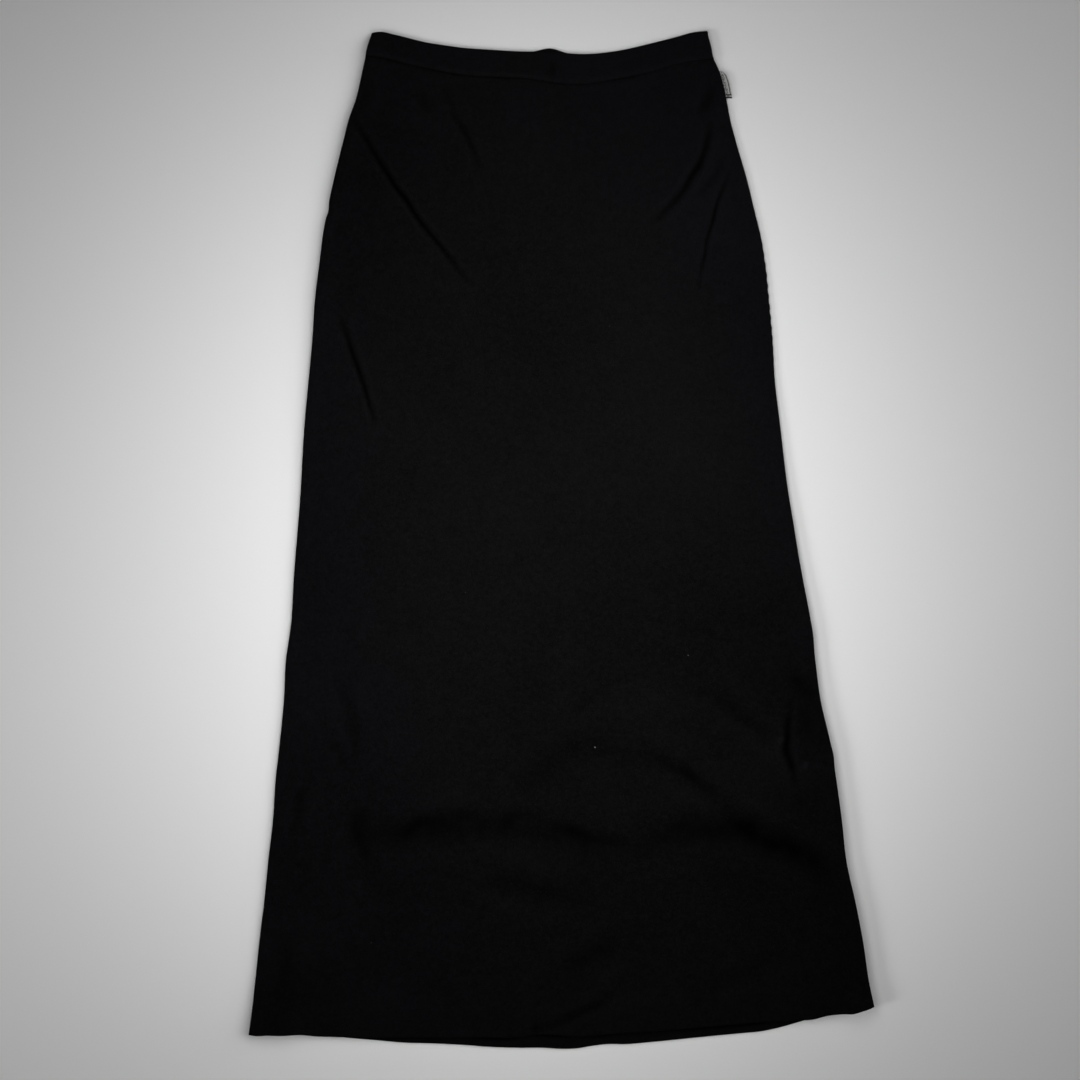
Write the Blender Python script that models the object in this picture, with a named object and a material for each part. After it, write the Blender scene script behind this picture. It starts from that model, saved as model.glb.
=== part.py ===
"""Maxi skirt laid flat on its back: two panels, the two halves of the waistband and a side label.

X runs across the skirt, Y up it to the waist and Z off the surface that it lies on. The origin is
on that surface, under the middle of the skirt. Lengths are in millimetres until a mesh is made.
"""

from collections import namedtuple

import bmesh
import bpy
import numpy as np

MM = 0.001

# Cloth walls and the sewing clearance between them.
PANEL_CLOTH = 1.2
HEM_CLOTH = 2.0
BAND_CLOTH = 2.2
LABEL_CLOTH = 0.9
SEAM_GAP = 0.3

# The turned-up hem: its depth, and the length over which the cloth thickens into it. The front
# comes down off the back's hem over a longer stretch, a little above it.
HEM_DEPTH = 30.0
HEM_STEP = 6.0
HEM_CLEAR = 4.0
HEM_SLOPE = 20.0

# A wall thins to this share of itself at a folded or seamed edge, over this reach.
RIM_SHARE = 0.35
RIM_REACH = 2.6

# How far the front stands off the back: in the open, and over the seam allowances.
PUFF = 1.1
PUFF_REACH = 26.0
ALLOWANCE_RISE = 0.5
ALLOWANCE_AT = 6.0
ALLOWANCE_REACH = 4.5

# The waist's two corners curl up from the surface.
CORNER_RISE = 2.4
CORNER_REACH = 85.0

Side = namedtuple("Side", "y left right")
Point = namedtuple("Point", "x y")
Fold = namedtuple("Fold", "start_x start_y middle_x middle_y end_x end_y reach depth")
Swell = namedtuple("Swell", "x y reach_x reach_y height")

# The side seams: how far each lies from the middle line, from the waist down to the hem.
SIDES = (
    Side(505, -190.0, 146.8),
    Side(492, -194.0, 150.4),
    Side(481, -196.3, 152.7),
    Side(470, -198.5, 157.6),
    Side(440, -206.2, 165.4),
    Side(400, -217.4, 174.4),
    Side(360, -227.2, 186.0),
    Side(318, -236.2, 196.6),
    Side(280, -241.2, 203.4),
    Side(200, -248.7, 211.2),
    Side(120, -256.2, 218.2),
    Side(40, -260.4, 228.0),
    Side(-40, -267.3, 241.9),
    Side(-120, -275.0, 254.0),
    Side(-160, -277.2, 259.5),
    Side(-240, -285.6, 275.0),
    Side(-320, -293.0, 285.1),
    Side(-400, -301.9, 301.8),
    Side(-467, -308.9, 312.5),
    Side(-494, -312.5, 318.0),
)

# The lines across the skirt, each from its left end to its right end on the side seams.
WAIST = (
    Point(-190.0, 506.6),
    Point(-184.0, 507.7),
    Point(-169.0, 505.8),
    Point(-137.0, 498.0),
    Point(-97.0, 491.5),
    Point(-41.0, 488.3),
    Point(-10.0, 487.0),
    Point(23.0, 485.9),
    Point(55.0, 488.9),
    Point(87.0, 496.0),
    Point(119.0, 504.0),
    Point(134.0, 507.6),
    Point(146.8, 508.2),
)
BAND_SEAM = (
    Point(-195.6, 483.4),
    Point(-164.0, 478.4),
    Point(-131.0, 470.8),
    Point(-99.0, 465.2),
    Point(-59.0, 462.6),
    Point(-30.0, 461.2),
    Point(-8.0, 457.4),
    Point(27.0, 456.4),
    Point(78.0, 465.2),
    Point(116.0, 475.8),
    Point(152.6, 481.4),
)
FRONT_HEM = (
    Point(-312.5, -494.0),
    Point(-300.0, -496.4),
    Point(-257.0, -495.3),
    Point(-161.0, -496.6),
    Point(-38.0, -496.0),
    Point(-20.0, -494.2),
    Point(15.0, -495.8),
    Point(78.0, -491.6),
    Point(154.0, -485.5),
    Point(210.0, -480.8),
    Point(263.0, -476.6),
    Point(279.0, -474.3),
    Point(297.0, -474.2),
    Point(306.0, -471.6),
    Point(312.5, -467.0),
)
BACK_HEM = (
    Point(-312.0, -493.5),
    Point(-300.0, -495.9),
    Point(-257.0, -495.2),
    Point(-233.0, -497.0),
    Point(-161.0, -502.4),
    Point(-97.0, -505.0),
    Point(-17.0, -507.8),
    Point(15.0, -508.4),
    Point(47.0, -504.2),
    Point(111.0, -499.7),
    Point(183.0, -492.8),
    Point(205.0, -490.0),
    Point(247.0, -479.0),
    Point(279.0, -473.8),
    Point(306.0, -470.8),
    Point(312.6, -466.4),
)

# The back half of the waistband sits this much lower, but for the place where it peeps over.
BACK_BAND_DROP = 0.6
PEEP_X = -9.0
PEEP_REACH = 12.0
PEEP_RISE = 3.4

# The long creases, each a shallow trough through three points. It keeps a share of its depth at its
# ends, and has raised shoulders at a multiple of its reach to each side.
FOLDS = (
    Fold(-205, 423, -163, 350, -90, 258, 10, 1.3),
    Fold(-222, 226, -198, 162, -186, 119, 11, 0.9),
    Fold(-105, 421, -94, 405, -86, 378, 9, 0.5),
    Fold(153, 417, 124, 360, 94, 322, 9, 1.1),
    Fold(168, 363, 152, 317, 139, 255, 9, 0.9),
    Fold(150, 453, 143, 446, 137, 439, 8, 0.4),
    Fold(-205, -273, -168, -292, -121, -279, 15, 1.3),
    Fold(-121, -279, -65, -297, -3, -288, 16, 1.2),
    Fold(-21, -275, 30, -297, 82, -304, 15, 1.2),
    Fold(162, -282, 208, -300, 249, -318, 13, 1.8),
    Fold(89, -215, 125, -243, 157, -256, 13, 1.2),
    Fold(228, -169, 226, -203, 228, -243, 9, 1.3),
    Fold(-69, -329, -45, -340, -21, -349, 13, 0.7),
    Fold(-215, -155, -202, -190, -222, -229, 13, 0.8),
    Fold(-263, -261, -266, -300, -277, -359, 11, 0.8),
    Fold(2, -197, 34, -163, 70, -144, 13, 0.6),
    Fold(11, -481, 45, -459, 74, -443, 11, 0.7),
    Fold(169, -441, 180, -431, 190, -421, 10, 0.5),
)
FOLD_STEPS = 12
END_SHARE = 0.35
SHOULDER_SHARE = 0.45
SHOULDER_AT = 1.9

# Broad places where the front stands higher off the back.
SWELLS = (
    Swell(-120, 330, 60, 70, 0.8),
    Swell(70, 300, 70, 90, 0.6),
    Swell(-20, 60, 150, 150, 0.6),
    Swell(-120, -235, 90, 32, 1.3),
    Swell(40, -245, 70, 34, 1.2),
    Swell(195, -235, 42, 38, 1.7),
    Swell(-40, -345, 150, 40, 0.9),
    Swell(170, -350, 80, 40, 1.1),
    Swell(-240, -330, 36, 80, 0.7),
)

# The label's outer edge, from its foot to its top, and the height of its middle.
LABEL_EDGE = (
    Point(170.8, 442.2),
    Point(169.9, 447.5),
    Point(168.6, 453.9),
    Point(166.6, 461.0),
    Point(162.8, 467.7),
    Point(160.2, 469.9),
)
LABEL_MIDDLE = 1.35

# The meshes. All four cloth pieces share their columns, so that they meet along the band's seam.
EDGE_SHARES = (0.0, 0.002, 0.006, 0.018)
COLUMNS = 30
FRONT_ROWS = 56
BACK_ROWS = 22
BAND_SHARES = (0.0, 0.03, 0.10, 0.55, 1.0)
LABEL_SHARES = (0.0, 0.012, 0.022, 0.0415)
HEM_SHARES = (0.962, 0.966, 0.971, 0.9975, 0.9992, 1.0)
LABEL_COLUMNS = 6
LABEL_ROWS = 10

BLACK_KNIT = (0.012, 0.012, 0.013, 1.0)
KNIT_ROUGHNESS = 0.95
GREY_SATIN = (0.27, 0.27, 0.28, 1.0)
SATIN_ROUGHNESS = 0.5


def curve(places, values, at):
    """The value at each place of a smooth curve through the rows, in rising order of place."""
    places, values = np.array(places, float), np.array(values, float)
    slopes = np.gradient(values, places)
    row = np.clip(np.searchsorted(places, at, side="right") - 1, 0, len(places) - 2)
    span = places[row + 1] - places[row]
    t = np.clip((at - places[row]) / span, 0.0, 1.0)
    start = (1 + 2 * t) * values[row] + t * span * slopes[row]
    end = (3 - 2 * t) * values[row + 1] + (t - 1) * span * slopes[row + 1]
    return (1 - t) ** 2 * start + t**2 * end


def side_x(side, y):
    """Where the left or right side seam is at each height y."""
    rows = sorted(SIDES)
    return curve([row.y for row in rows], [getattr(row, side) for row in rows], y)


def line_y(line, x):
    """Where a line across the skirt is at each x."""
    return curve([point.x for point in line], [point.y for point in line], x)


def mix(first, second, share):
    return first + (second - first) * share


def smooth(share):
    """A share from 0 to 1, eased at both ends."""
    share = np.clip(share, 0.0, 1.0)
    return share * share * (3 - 2 * share)


def bump(distance, reach):
    return np.exp(-((distance / reach) ** 2))


def bend(line, u):
    """How far a line leaves the straight way between its ends, at shares across it."""
    x = mix(side_x("left", line[0].y), side_x("right", line[-1].y), u)
    return line_y(line, x) - mix(line[0].y, line[-1].y, u)


def plan(top, bottom, u, v):
    """Places in plan at shares u across and v down a piece, held to the side seams and to two lines."""
    left_y, right_y = mix(top[0].y, bottom[0].y, v), mix(top[-1].y, bottom[-1].y, v)
    x = mix(side_x("left", left_y), side_x("right", right_y), u)
    y = mix(left_y, right_y, u) + mix(bend(top, u), bend(bottom, u), v)
    return x, y


def moved(line, down):
    """The same line, a little further down the skirt."""
    return tuple(Point(point.x, point.y - down) for point in line)


def from_sides(x, y):
    """How far each place is inside the nearer side seam."""
    return np.maximum(np.minimum(x - side_x("left", y), side_x("right", y) - x), 0.0)


def rim(distance):
    """The share of its full thickness that a wall has this far in from a rounded edge."""
    inward = 1.0 - np.clip(distance / RIM_REACH, 0.0, 1.0)
    return mix(RIM_SHARE, 1.0, np.sqrt(1.0 - inward**2))


def hem_thickness(distance):
    """A panel's thickness this far above its hem line."""
    return mix(HEM_CLOTH, PANEL_CLOTH, smooth((distance - HEM_DEPTH) / HEM_STEP + 0.5))


def over_back(x, y):
    """The height that clears the back panel, its turned-up hem as well."""
    above = y - line_y(BACK_HEM, x) - HEM_DEPTH - HEM_CLEAR
    return mix(HEM_CLOTH, PANEL_CLOTH, smooth(above / HEM_SLOPE)) + SEAM_GAP


def fold_points(fold):
    """Places along a crease, on the bend that runs through its three points."""
    start = np.array([fold.start_x, fold.start_y], float)
    end = np.array([fold.end_x, fold.end_y], float)
    middle = np.array([fold.middle_x, fold.middle_y], float)
    pull = 2 * middle - (start + end) / 2
    share = np.linspace(0.0, 1.0, FOLD_STEPS + 1)[:, None]
    return (1 - share) ** 2 * start + 2 * share * (1 - share) * pull + share**2 * end


def fold_height(fold, x, y):
    """What one crease adds: a trough that fades at its ends, with a raised shoulder on each side."""
    points = fold_points(fold)
    nearest = np.full(np.shape(x), np.inf)
    along = np.zeros(np.shape(x))
    for step, (start, end) in enumerate(zip(points[:-1], points[1:])):
        run = end - start
        share = np.clip(((x - start[0]) * run[0] + (y - start[1]) * run[1]) / (run @ run), 0.0, 1.0)
        gap = np.hypot(x - start[0] - share * run[0], y - start[1] - share * run[1])
        closer = gap < nearest
        nearest = np.where(closer, gap, nearest)
        along = np.where(closer, (step + share) / FOLD_STEPS, along)
    strength = mix(END_SHARE, 1.0, np.sin(np.pi * along))
    shoulder = bump(nearest - SHOULDER_AT * fold.reach, fold.reach)
    return fold.depth * strength * (SHOULDER_SHARE * shoulder - bump(nearest, fold.reach))


def lift(x, y):
    """How far the front stands off the back, beyond the sewing clearance."""
    inward = from_sides(x, y)
    open_cloth = smooth(inward / PUFF_REACH)
    height = PUFF * open_cloth + ALLOWANCE_RISE * bump(inward - ALLOWANCE_AT, ALLOWANCE_REACH)
    for swell in SWELLS:
        reach = np.hypot((x - swell.x) / swell.reach_x, (y - swell.y) / swell.reach_y)
        height = height + swell.height * bump(reach, 1.0) * open_cloth
    for fold in FOLDS:
        height = height + fold_height(fold, x, y) * smooth(inward / (2 * ALLOWANCE_AT))
    return np.maximum(height, 0.0)


def corner_rise(x, y):
    """How far the cloth is off the surface near the waist's two corners."""
    left, right = (np.hypot(x - corner.x, y - corner.y) for corner in (WAIST[0], WAIST[-1]))
    return CORNER_RISE * smooth(1 - np.minimum(left, right) / CORNER_REACH)


def back_panel_shape(u, v):
    """The lower panel: flat underneath, its sides turned up to the seams and its hem a fold."""
    x, y = plan(moved(BAND_SEAM, SEAM_GAP / 2), BACK_HEM, u, v)
    above_hem = y - line_y(BACK_HEM, x)
    top = hem_thickness(above_hem)
    edge = np.minimum(rim(from_sides(x, y)), rim(above_hem))
    rise = corner_rise(x, y)
    return x, y, rise + PANEL_CLOTH * (1 - edge), rise + top


def front_panel_shape(u, v):
    """The upper panel, standing off the back by its folds."""
    x, y = plan(moved(BAND_SEAM, SEAM_GAP / 2), FRONT_HEM, u, v)
    thickness = hem_thickness(y - line_y(FRONT_HEM, x))
    edge = np.minimum(rim(from_sides(x, y)), rim(y - line_y(FRONT_HEM, x)))
    below = over_back(x, y) + lift(x, y) + corner_rise(x, y)
    return x, y, below, below + thickness * edge


def back_band_over(x):
    """How far the back half of the waistband stands above the front half's top edge."""
    return PEEP_RISE * bump(x - PEEP_X, PEEP_REACH) - BACK_BAND_DROP


def waistband_back_shape(u, v):
    """The back half of the waistband, flat underneath."""
    x, y = plan(WAIST, moved(BAND_SEAM, -SEAM_GAP / 2), u, v)
    below_top = line_y(WAIST, x) - y
    y = y + back_band_over(x) * (1 - v)
    edge = np.minimum(rim(from_sides(x, y)), rim(below_top))
    rise = corner_rise(x, y)
    return x, y, rise + BAND_CLOTH * (1 - edge), rise + BAND_CLOTH


def waistband_front_shape(u, v):
    """The front half of the waistband, on the back half."""
    x, y = plan(WAIST, moved(BAND_SEAM, -SEAM_GAP / 2), u, v)
    edge = np.minimum(rim(from_sides(x, y)), rim(line_y(WAIST, x) - y))
    below = corner_rise(x, y) + BAND_CLOTH + SEAM_GAP
    return x, y, below, below + BAND_CLOTH * edge


def side_label_shape(u, v):
    """The flag label, standing out of the right side seam at half the edge's height."""
    y = mix(LABEL_EDGE[-1].y, LABEL_EDGE[0].y, v)
    inner = side_x("right", y) + SEAM_GAP
    outer = curve([point.y for point in LABEL_EDGE], [point.x for point in LABEL_EDGE], y)
    x = mix(inner, outer, u)
    middle = LABEL_MIDDLE + corner_rise(x, y)
    half = LABEL_CLOTH / 2 * np.minimum(1.0, rim(outer - x))
    return x, y, middle - half, middle + half


def material(name, colour, roughness):
    made = bpy.data.materials.new(name)
    made.use_nodes = True
    shader = made.node_tree.nodes["Principled BSDF"]
    shader.inputs["Base Color"].default_value = colour
    shader.inputs["Roughness"].default_value = roughness
    shader.inputs["Metallic"].default_value = 0.0
    return made


def wall(name, columns, rows, shape, cloth, collection):
    """One closed wall of cloth: a grid at the given shares, drawn out to two faces, laid to shape."""
    bm = bmesh.new()
    bmesh.ops.create_grid(bm, x_segments=len(columns) - 1, y_segments=len(rows) - 1, size=0.5)
    drawn = bmesh.ops.extrude_face_region(bm, geom=bm.faces[:])["geom"]
    upper = {vertex for vertex in drawn if isinstance(vertex, bmesh.types.BMVert)}
    steps = np.array([(vertex.co.x + 0.5, 0.5 - vertex.co.y) for vertex in bm.verts])
    column = np.rint(steps[:, 0] * (len(columns) - 1)).astype(int)
    row = np.rint(steps[:, 1] * (len(rows) - 1)).astype(int)
    x, y, low, high = shape(np.array(columns)[column], np.array(rows)[row])
    for index, vertex in enumerate(bm.verts):
        z = high[index] if vertex in upper else low[index]
        vertex.co = (x[index] * MM, y[index] * MM, z * MM)
    bmesh.ops.triangulate(bm, faces=bm.faces[:])
    bmesh.ops.recalc_face_normals(bm, faces=bm.faces[:])
    mesh = bpy.data.meshes.new(name)
    bm.to_mesh(mesh)
    bm.free()
    mesh.shade_smooth()
    mesh.materials.append(cloth)
    piece = bpy.data.objects.new(name, mesh)
    collection.objects.link(piece)
    return piece


def shares(count, first=(), last=()):
    """Even shares from 0 to 1, with the closer ones of an edge in place of the first and last steps."""
    start, stop = (first[-1] if first else 0.0), (last[0] if last else 1.0)
    even = list(np.linspace(start, stop, count + 1))
    return list(first[:-1]) + even + list(last[1:])


def clear_scene():
    for old in list(bpy.data.objects):
        bpy.data.objects.remove(old, do_unlink=True)


def main():
    clear_scene()
    collection = bpy.data.collections.new("maxi_skirt")
    bpy.context.scene.collection.children.link(collection)
    other_edge = tuple(1.0 - share for share in reversed(EDGE_SHARES))
    columns = shares(COLUMNS, EDGE_SHARES, other_edge)
    front_rows = shares(FRONT_ROWS, LABEL_SHARES, HEM_SHARES)
    back_rows = shares(BACK_ROWS, LABEL_SHARES, HEM_SHARES)
    label_columns, label_rows = shares(LABEL_COLUMNS), shares(LABEL_ROWS)
    for name, across, down, shape, colour, roughness in (
        ("back_panel", columns, back_rows, back_panel_shape, BLACK_KNIT, KNIT_ROUGHNESS),
        ("front_panel", columns, front_rows, front_panel_shape, BLACK_KNIT, KNIT_ROUGHNESS),
        ("waistband_back", columns, BAND_SHARES, waistband_back_shape, BLACK_KNIT, KNIT_ROUGHNESS),
        ("waistband_front", columns, BAND_SHARES, waistband_front_shape, BLACK_KNIT, KNIT_ROUGHNESS),
        ("side_label", label_columns, label_rows, side_label_shape, GREY_SATIN, SATIN_ROUGHNESS),
    ):
        wall(name, across, down, shape, material(f"{name}_cloth", colour, roughness), collection)


main()
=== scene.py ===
"""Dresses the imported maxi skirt: fine cloth on each panel, a satin label, floor, light and camera.

X runs across the skirt, Y up it to the waist and Z off the surface that it lies on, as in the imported
model. Shapes are worked out in millimetres and put into their meshes in metres.
"""

import math
from collections import namedtuple

import bmesh
import bpy
import numpy as np
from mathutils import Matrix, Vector, noise


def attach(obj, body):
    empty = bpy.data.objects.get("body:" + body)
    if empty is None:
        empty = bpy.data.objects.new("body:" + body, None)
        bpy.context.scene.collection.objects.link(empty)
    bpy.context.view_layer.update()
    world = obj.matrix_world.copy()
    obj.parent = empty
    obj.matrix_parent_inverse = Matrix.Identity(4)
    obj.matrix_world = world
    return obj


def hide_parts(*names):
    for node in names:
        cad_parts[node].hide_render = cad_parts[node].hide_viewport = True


bl_info = {
    "name": "Maxi Skirt",
    "version": (1, 0, 0),
    "blender": (4, 5, 0),
    "location": "View3D > Sidebar > Skirt",
    "description": "Makes a black maxi skirt laid flat, with its floor, light and camera",
    "category": "Object",
}

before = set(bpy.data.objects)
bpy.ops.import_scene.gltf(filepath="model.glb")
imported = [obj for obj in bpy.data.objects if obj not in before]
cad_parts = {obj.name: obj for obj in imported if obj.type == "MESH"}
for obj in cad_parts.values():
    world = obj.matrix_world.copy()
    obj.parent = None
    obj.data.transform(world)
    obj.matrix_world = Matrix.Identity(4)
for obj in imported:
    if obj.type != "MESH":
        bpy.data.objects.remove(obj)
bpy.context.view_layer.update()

MM = 0.001

Side = namedtuple("Side", "y left right")
Point = namedtuple("Point", "x y")
Fold = namedtuple("Fold", "start_x start_y middle_x middle_y end_x end_y reach depth")
Swell = namedtuple("Swell", "x y reach_x reach_y height")
Nudge = namedtuple("Nudge", "side y reach out")
Lift = namedtuple("Lift", "y left right")
Patches = namedtuple("Patches", "height size seed")
Steps = namedtuple("Steps", "stop count")
Spot = namedtuple("Spot", "x y reach strength")
Faces = namedtuple("Faces", "x y outside inside relief inside_x", defaults=(None,))
Pattern = namedtuple("Pattern", "size detail roughness across down", defaults=(0.5, 1.0, 1.0))
Lamp = namedtuple("Lamp", "name x y z size power")


def table(kind, *rows):
    """A table whose rows are records of one kind."""
    return tuple(kind(*row) for row in rows)


# The side seams: how far each lies from the middle line, from the waist down to the hem.
SIDES = table(
    Side,
    (505, -190.0, 146.4), (492, -194.2, 150.0), (481, -196.3, 152.7), (470, -198.6, 157.6),
    (462, -200.2, 160.2), (440, -205.4, 165.2), (420, -212.4, 169.0), (400, -217.4, 174.2),
    (360, -227.2, 185.8), (330, -233.7, 193.0), (300, -238.8, 200.2), (280, -241.2, 203.4),
    (240, -246.2, 207.6), (200, -248.9, 211.2), (160, -252.6, 213.4), (120, -256.4, 218.0),
    (40, -261.4, 227.6), (-40, -267.8, 241.2), (-80, -270.1, 248.6), (-120, -275.6, 253.2),
    (-160, -277.6, 258.5), (-200, -281.5, 267.7), (-240, -285.9, 274.1), (-280, -288.6, 279.5),
    (-320, -293.2, 284.0), (-360, -297.2, 292.8), (-400, -302.1, 300.5), (-440, -306.2, 306.4),
    (-467, -309.0, 312.1), (-494, -312.5, 318.0),
)

# Small steps and bulges of the side seams.
NUDGES = table(
    Nudge,
    ("left", 329, 6, -1.4), ("left", -100, 10, -0.2), ("right", 485, 5, -0.5),
    ("right", 18, 26, 0.5), ("right", -95, 12, 0.7), ("right", -214, 9, 1.0),
)
# The sewing draws the right seam into small waves at the hip.
SEAM_WAVE_Y = 243.0
SEAM_WAVE_REACH = 52.0
SEAM_WAVE_PITCH = 10.5
SEAM_WAVE_OUT = 0.4

# How far each side seam stands off the surface, from the waist down to the hem.
EDGE_LIFTS = table(
    Lift,
    (505, 2.0, 0.8), (470, 4.0, 1.0), (420, 5.4, 0.8), (300, 5.8, 0.6), (180, 4.6, 1.0),
    (60, 2.8, 3.0), (-120, 2.0, 6.4), (-300, 1.6, 8.4), (-440, 1.4, 8.0), (-494, 2.8, 5.4),
)
# Where the hem stands off the surface near its two ends: the reach is along it and up from it.
HEM_LIFTS = table(
    Swell,
    (-276, -495, 20, 34, 11.2),
    (288, -473, 17, 36, 10.5),
)

# The lines across the skirt, each from its left end to its right end on the side seams.
WAIST = table(
    Point,
    (-190, 507.1), (-184, 508.1), (-169, 505.7), (-153, 501.8), (-137, 498), (-121, 495.5),
    (-97, 492.4), (-73, 490.8), (-41, 489), (-12, 488.6), (2, 487.5), (23, 486.4), (55, 489.2),
    (87, 496), (119, 504), (134, 507.9), (146.4, 509.1),
)
BAND_SEAM = table(
    Point,
    (-195.6, 483.4), (-181, 482.2), (-164, 478.4), (-148, 474.4), (-131, 470.8), (-99, 465.2),
    (-59, 462.6), (-36, 461.7), (-16, 458.6), (-6, 457.2), (27, 456.4), (46, 459.4), (78, 465.2),
    (116, 475.8), (130, 478.6), (152.6, 481.4),
)
FRONT_HEM = table(
    Point,
    (-312.5, -494.2), (-304, -495), (-291, -493.5), (-281, -492.7), (-263, -492.6), (-246, -495.4),
    (-225, -496.4), (-161, -497), (-90, -496.8), (-38, -496.2), (-24, -494.2), (-3, -494.6),
    (15, -496.1), (40, -494.2), (78, -491.8), (154, -485.7), (210, -481), (240, -479.8),
    (252, -478.8), (263, -475.5), (272, -473.2), (281, -471.4), (290, -471), (299, -469),
    (307, -466.7), (312.5, -464.4),
)
BACK_HEM = table(
    Point,
    (-312, -493.7), (-304, -494.5), (-291, -493), (-281, -492.2), (-263, -492.1), (-246, -495.1),
    (-219, -497.5), (-209, -498.4), (-185, -500.4), (-161, -502.6), (-129, -503.6), (-97, -505.2),
    (-73, -507), (-41, -508), (-17, -508), (-1, -509), (15, -508.6), (31, -506), (47, -504.2),
    (63, -504.4), (87, -502.5), (135, -497.7), (183, -493.1), (199, -491.6), (215, -488.4),
    (247, -479.4), (263, -475.1), (281, -471), (299, -468.6), (307, -466.6), (312.6, -464),
)

# The back half of the waistband sits this much lower, but for the place where it peeps over.
BACK_BAND_DROP = 0.7
PEEP_X = -11.0
PEEP_REACH = 14.0
PEEP_RISE = 4.4

# The front's creases, each a shallow trough through three points, the long ones of the hips first.
FOLDS = table(
    Fold,
    (-209, 424, -160, 346, -90, 256, 3.1, 2.7),
    (-196, 462, -198, 444, -207, 424, 8.0, 1.0),
    (-217, 320, -220, 311, -225, 302, 6.0, 0.7),
    (-221, 222, -203, 170, -186, 118, 3.0, 2.4),
    (-112, 430, -95, 404, -83, 371, 3.8, 1.25),
    (-122, 456, -115, 444, -108, 428, 5.0, 0.55),
    (-143, 450, -139, 441, -133, 428, 5.0, 0.7),
    (149, 418, 132, 366, 92, 318, 3.8, 2.3),
    (168, 370, 151, 320, 137, 252, 2.5, 1.7),
    (164, 384, 152, 363, 136, 342, 4.5, 0.8),
    (152, 456, 146, 440, 140, 424, 7.0, 1.2),
    # Rumples of the lower part, wide and tight: down the left, across it and up the right.
    (-222, -137, -210, -182, -206, -223, 8.0, 0.9),
    (-235, -194, -222, -214, -213, -229, 6.0, 0.9),
    (-254, -235, -263, -271, -267, -296, 7.0, 1.0),
    (-263, -321, -260, -330, -257, -340, 6.0, 0.7),
    (-206, -302, -121, -288, -57, -290, 15.0, 1.4),
    (-70, -283, -7, -293, 82, -308, 13.0, 1.2),
    (82, -304, 171, -291, 272, -340, 15.0, 1.6),
    (-200, -270, -203, -296, -191, -324, 9.0, 1.4),
    (-159, -299, -127, -280, -83, -277, 7.0, 1.1),
    (-61, -299, -42, -274, -10, -283, 6.0, 0.9),
    (-10, -283, 25, -296, 69, -305, 5.0, 1.0),
    (25, -299, 19, -318, 9, -327, 4.0, 0.6),
    (164, -276, 204, -296, 262, -325, 10.5, 1.6),
    (-46, -268, 4, -212, 82, -217, 13.0, 0.7),
    (82, -215, 128, -235, 181, -283, 10.0, 1.1),
    (98, -223, 133, -239, 158, -255, 4.0, 0.6),
    (12, -179, 50, -144, 101, -137, 5.0, 0.4),
    (126, -144, 177, -169, 209, -201, 8.0, 0.9),
    (168, -169, 187, -185, 202, -198, 5.0, 0.8),
    (226, -132, 240, -146, 250, -160, 9.0, 1.2),
    (230, -161, 226, -200, 231, -238, 4.2, 2.1),
    (243, -168, 247, -180, 249, -194, 6.0, 1.2),
    (226, -220, 231, -232, 236, -246, 5.0, 1.0),
    (232, -250, 238, -260, 242, -270, 6.0, 0.8),
    (-73, -331, -38, -349, 26, -360, 11.0, 1.1),
    (-197, -336, -184, -344, -170, -352, 10.0, 0.5),
    (0, -430, 30, -415, 66, -395, 12.0, 0.8),
    # Creases that run up from the hem.
    (-280, -400, -276, -430, -282, -462, 10.0, 0.8),
    (-32, -491, 12, -476, 63, -448, 5.0, 1.4),
    (133, -460, 177, -435, 221, -410, 8.0, 0.7),
    (-26, -477, -24, -485, -27, -493, 3.5, 1.0),
)

# The back's creases, on the side that the skirt lies on.
BACK_FOLDS = table(
    Fold,
    (-190, 402, -150, 332, -96, 250, 8.0, 0.5),
    (150, 388, 118, 330, 82, 282, 8.0, 0.5),
    (-212, 150, -196, 92, -190, 38, 9.0, 0.4),
    (180, 190, 168, 120, 172, 60, 9.0, 0.4),
    (-180, -262, -110, -290, -20, -276, 13.0, 0.6),
    (30, -262, 110, -296, 205, -284, 13.0, 0.6),
    (-240, -330, -170, -352, -110, -340, 11.0, 0.4),
    (60, -400, 120, -420, 190, -408, 11.0, 0.4),
)
FOLD_STEPS = 14
# A crease's strength at its two ends, and how quickly it comes up to full strength between them.
END_SHARE = 0.15
END_FULLNESS = 0.6
# The raised shoulders beside a crease: their share of its depth, and how many reaches off they are.
SHOULDER_SHARE = 0.45
SHOULDER_AT = 1.9
# The depth at which a crease's bottom gets its full painted shade, and how wide its painted dark line
# is.
FULL_SHADE_DEPTH = 2.6
SHADE_LINE_SHARE = 0.8
# The coarser underside follows a crease this much more widely, so that it stays under the upper face.
UNDER_REACH = 22.0

# Broad places where the front stands higher off the back.
SWELLS = table(
    Swell,
    (-125, 325, 60, 75, 1.1),
    (90, 330, 70, 90, 1.0),
    (-20, 60, 150, 150, 0.6),
    (-140, -235, 80, 34, 1.8),
    (-45, -315, 50, 20, 1.6),
    (70, -256, 60, 26, 2.2),
    (98, -172, 50, 30, 1.6),
    (200, -235, 34, 34, 2.0),
    (-40, -385, 150, 30, 0.9),
    (170, -365, 80, 34, 1.4),
    (-235, -300, 30, 80, 1.2),
)

# The label's outer edge, from its foot to its top.
LABEL_EDGE = table(
    Point,
    (170.8, 442.2), (169.9, 447.5), (168.6, 453.9), (166.6, 461), (162.8, 467.4), (159.6, 469.4),
)
# The gap at its sewn ends, the height of its middle, a ply's thickness and the radius of its fold.
LABEL_GAP = 0.05
LABEL_MIDDLE = 1.5
LABEL_PLY = 0.28
LABEL_FOLD = 0.34
# The shares across the label between which it turns over, from its upper ply to its lower one.
LABEL_TURNS = 0.44
LABEL_TURNED = 0.56
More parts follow.
